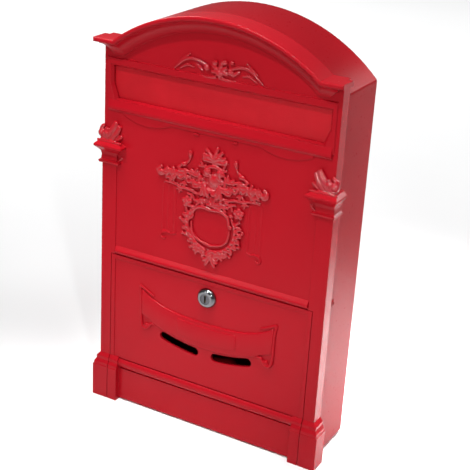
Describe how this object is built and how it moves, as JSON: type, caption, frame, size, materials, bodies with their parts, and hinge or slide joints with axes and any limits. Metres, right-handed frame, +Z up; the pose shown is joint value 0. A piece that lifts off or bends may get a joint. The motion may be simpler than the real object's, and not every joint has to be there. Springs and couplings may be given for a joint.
{
  "type": "wall mailbox",
  "caption": "Wall mailbox with an arched roof: cast front with pilasters, top-hinged letter flap, bottom-hinged door with cam lock, folded sheet casing.",
  "frame": {"origin": "centre of the four wall holes, on the back face that lies on the wall", "axes": "+X to the right seen from the front, +Y into the wall, +Z up"},
  "size_m": [0.253, 0.0873, 0.41],
  "materials": {
    "front_paint": "glossy red powder coat on cast aluminium",
    "casing_paint": "glossy red powder coat on steel sheet",
    "flap_paint": "fine-textured red powder coat on sheet",
    "lock_chrome": "polished chrome plate",
    "lock_zinc": "bright zinc plate",
    "pivot_steel": "drawn stainless rod",
    "spring_steel": "drawn spring wire",
    "screw_zinc": "zinc-plated steel",
    "rivet_aluminium": "plain aluminium",
    "wafer_brass": "stamped brass"
  },
  "bodies": {
    "box": {"front_frame": "front_paint", "casing_shell": "casing_paint", "back_plate": "casing_paint", "back_plate_rivets": "rivet_aluminium", "front_screws": "screw_zinc", "front_screw_washers": "screw_zinc", "side_screws": "casing_paint", "flap_rod": "pivot_steel", "flap_rod_clips": "pivot_steel", "flap_spring": "spring_steel", "door_pins": "pivot_steel"},
    "flap": {"letter_flap": "flap_paint"},
    "door_leaf": {"door": "front_paint", "lock_body": "lock_chrome", "lock_washer": "lock_zinc", "lock_nut": "lock_zinc"},
    "lock_core": {"lock_plug": "lock_chrome", "lock_wafers": "wafer_brass", "lock_cam": "lock_zinc", "cam_washer": "lock_zinc", "cam_screw": "lock_zinc"}
  },
  "joints": [
    {"name": "flap_hinge", "type": "hinge", "parent": "box", "child": "flap", "pos_m": [0, -0.0671, 0.146], "axis": [1, 0, 0], "range_deg": [0, 75], "stiffness_Nm_per_rad": 0.02, "springref_deg": -45.84, "deforming": ["flap_spring"]},
    {"name": "door_hinge", "type": "hinge", "parent": "box", "child": "door_leaf", "pos_m": [0, -0.0715, -0.197], "axis": [1, 0, 0], "range_deg": [0, 90]},
    {"name": "lock_turn", "type": "hinge", "parent": "door_leaf", "child": "lock_core", "pos_m": [0, -0.0735, -0.062], "axis": [0, 1, 0], "range_deg": [0, 90]}
  ]
}
